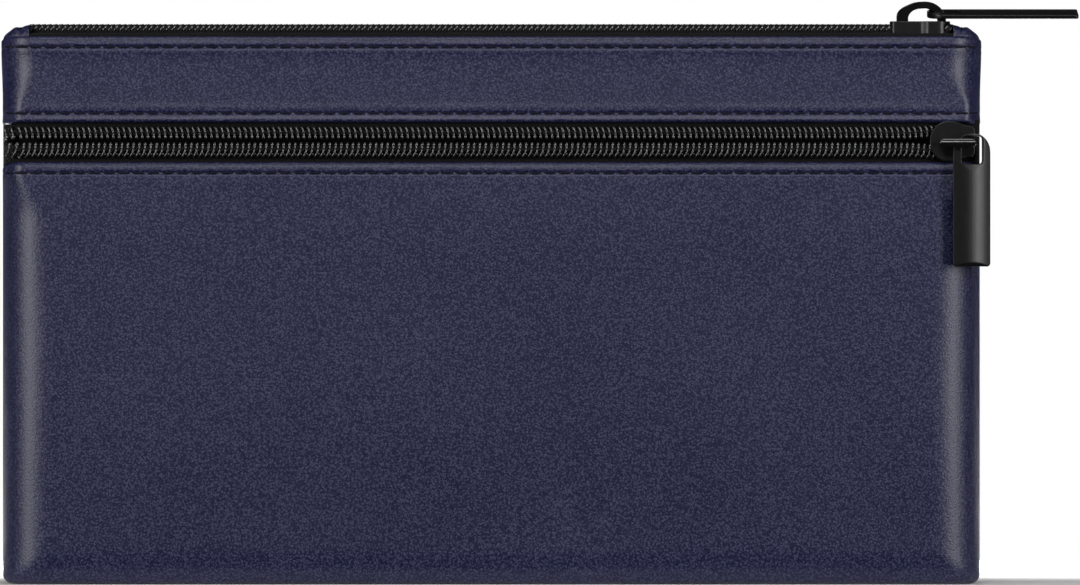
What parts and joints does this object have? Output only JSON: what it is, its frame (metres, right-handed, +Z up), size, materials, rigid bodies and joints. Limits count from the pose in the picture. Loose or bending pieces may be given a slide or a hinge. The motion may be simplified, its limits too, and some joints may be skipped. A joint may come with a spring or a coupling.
{
  "type": "cash deposit bag",
  "caption": "Flat navy leather deposit bag with a zipped main compartment along the top, a zipped front pocket, sliders that run and pullers that swing.",
  "frame": {"origin": "middle of the flat underside, where the bag stands", "axes": "+Z up to the top zip, +X along the zips towards the end where both sliders rest, -Y out of the face with the zipped pocket"},
  "size_m": [0.3081, 0.0265, 0.1667],
  "materials": {
    "leather": "matte navy, fine pebble grain",
    "lining": "plain woven black",
    "zip_tape": "black herringbone weave",
    "zip_coil": "black nylon, semi-gloss",
    "thread": "dark navy twisted thread",
    "black_metal": "black satin"
  },
  "bodies": {
    "bag": {"back_panel": "leather", "front_panel": "leather", "upper_band": "leather", "main_lining": "lining", "pocket_divider": "lining", "pocket_lining": "lining", "top_zip_tape_front": "zip_tape", "top_zip_tape_back": "zip_tape", "top_coil_front": "zip_coil", "top_coil_back": "zip_coil", "front_zip_tape_upper": "zip_tape", "front_zip_tape_lower": "zip_tape", "front_coil_upper": "zip_coil", "front_coil_lower": "zip_coil", "left_zip_tab": "leather", "right_zip_tab": "leather", "band_top_stitching": "thread", "band_bottom_stitching": "thread", "pocket_edge_stitching": "thread", "back_top_stitching": "thread", "tab_stitching": "thread"},
    "top_slider": {"top_slider_body": "black_metal", "top_slider_bail": "black_metal"},
    "top_puller": {"top_puller": "black_metal"},
    "front_slider": {"front_slider_body": "black_metal", "front_slider_bail": "black_metal"},
    "front_puller": {"front_puller": "black_metal"}
  },
  "joints": [
    {"name": "top_slider_slide", "type": "slide", "parent": "bag", "child": "top_slider", "axis": [1, 0, 0], "range_m": [-0.245, 0], "deforming": ["top_coil_front", "top_coil_back"]},
    {"name": "top_puller_flip", "type": "hinge", "parent": "top_slider", "child": "top_puller", "pos_m": [0.12532, 0, 0.16335], "axis": [0, -1, 0], "range_deg": [0, 150]},
    {"name": "front_slider_slide", "type": "slide", "parent": "bag", "child": "front_slider", "axis": [1, 0, 0], "range_m": [-0.262, 0], "deforming": ["front_coil_upper", "front_coil_lower"]},
    {"name": "front_puller_swing", "type": "hinge", "parent": "front_slider", "child": "front_puller", "pos_m": [0.1372, -0.01271, 0.1265], "axis": [0, 1, 0], "range_deg": [-90, 30]}
  ]
}
